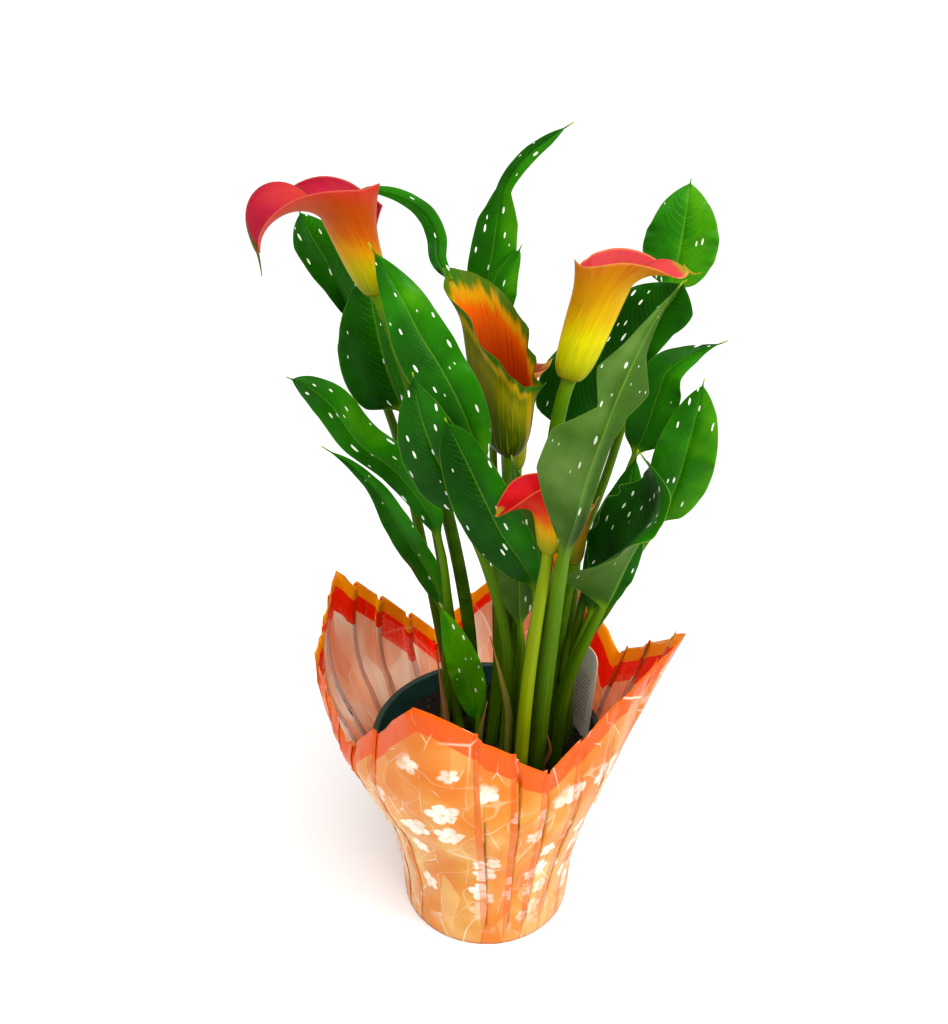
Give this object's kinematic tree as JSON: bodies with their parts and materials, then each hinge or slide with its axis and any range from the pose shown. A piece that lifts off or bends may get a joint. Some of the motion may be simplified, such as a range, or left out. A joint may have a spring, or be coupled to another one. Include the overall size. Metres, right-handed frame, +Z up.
{
  "type": "potted calla lily",
  "caption": "Calla lily with broad leaves and rolled flowers, in a pot of soil inside a pleated film pot cover.",
  "frame": {"origin": "middle of the pot cover's flat underside", "axes": "+Z up along the pot's axis, -Y towards the front of the plant"},
  "size_m": [0.2766, 0.2079, 0.5474],
  "materials": {
    "cover_film": "glossy translucent printed film",
    "pot_plastic": "satin moulded plastic",
    "soil": "crumbly peat mix",
    "tag_card": "plain card",
    "leaf": "waxy leaf",
    "scape": "smooth fleshy stem",
    "spathe": "satin petal",
    "spadix": "fine beads"
  },
  "bodies": {
    "root": {"pot_cover": "cover_film", "pot": "pot_plastic", "soil": "soil", "plant_tag": "tag_card", "leaf_01": "leaf", "leaf_02": "leaf", "leaf_03": "leaf", "leaf_04": "leaf", "leaf_05": "leaf", "leaf_06": "leaf", "leaf_07": "leaf", "leaf_08": "leaf", "leaf_09": "leaf", "leaf_10": "leaf", "leaf_11": "leaf", "leaf_12": "leaf", "leaf_13": "leaf", "leaf_14": "leaf", "leaf_15": "leaf", "leaf_16": "leaf", "leaf_17": "leaf", "leaf_18": "leaf", "scape_1": "scape", "spathe_1": "spathe", "spadix_1": "spadix", "scape_2": "scape", "spathe_2": "spathe", "spadix_2": "spadix", "scape_3": "scape", "spathe_3": "spathe", "spadix_3": "spadix", "scape_4": "scape", "spathe_4": "spathe", "spadix_4": "spadix", "scape_5": "scape", "spathe_5": "spathe", "spadix_5": "spadix", "scape_6": "scape", "spathe_6": "spathe", "spadix_6": "spadix"}
  },
  "joints": []
}
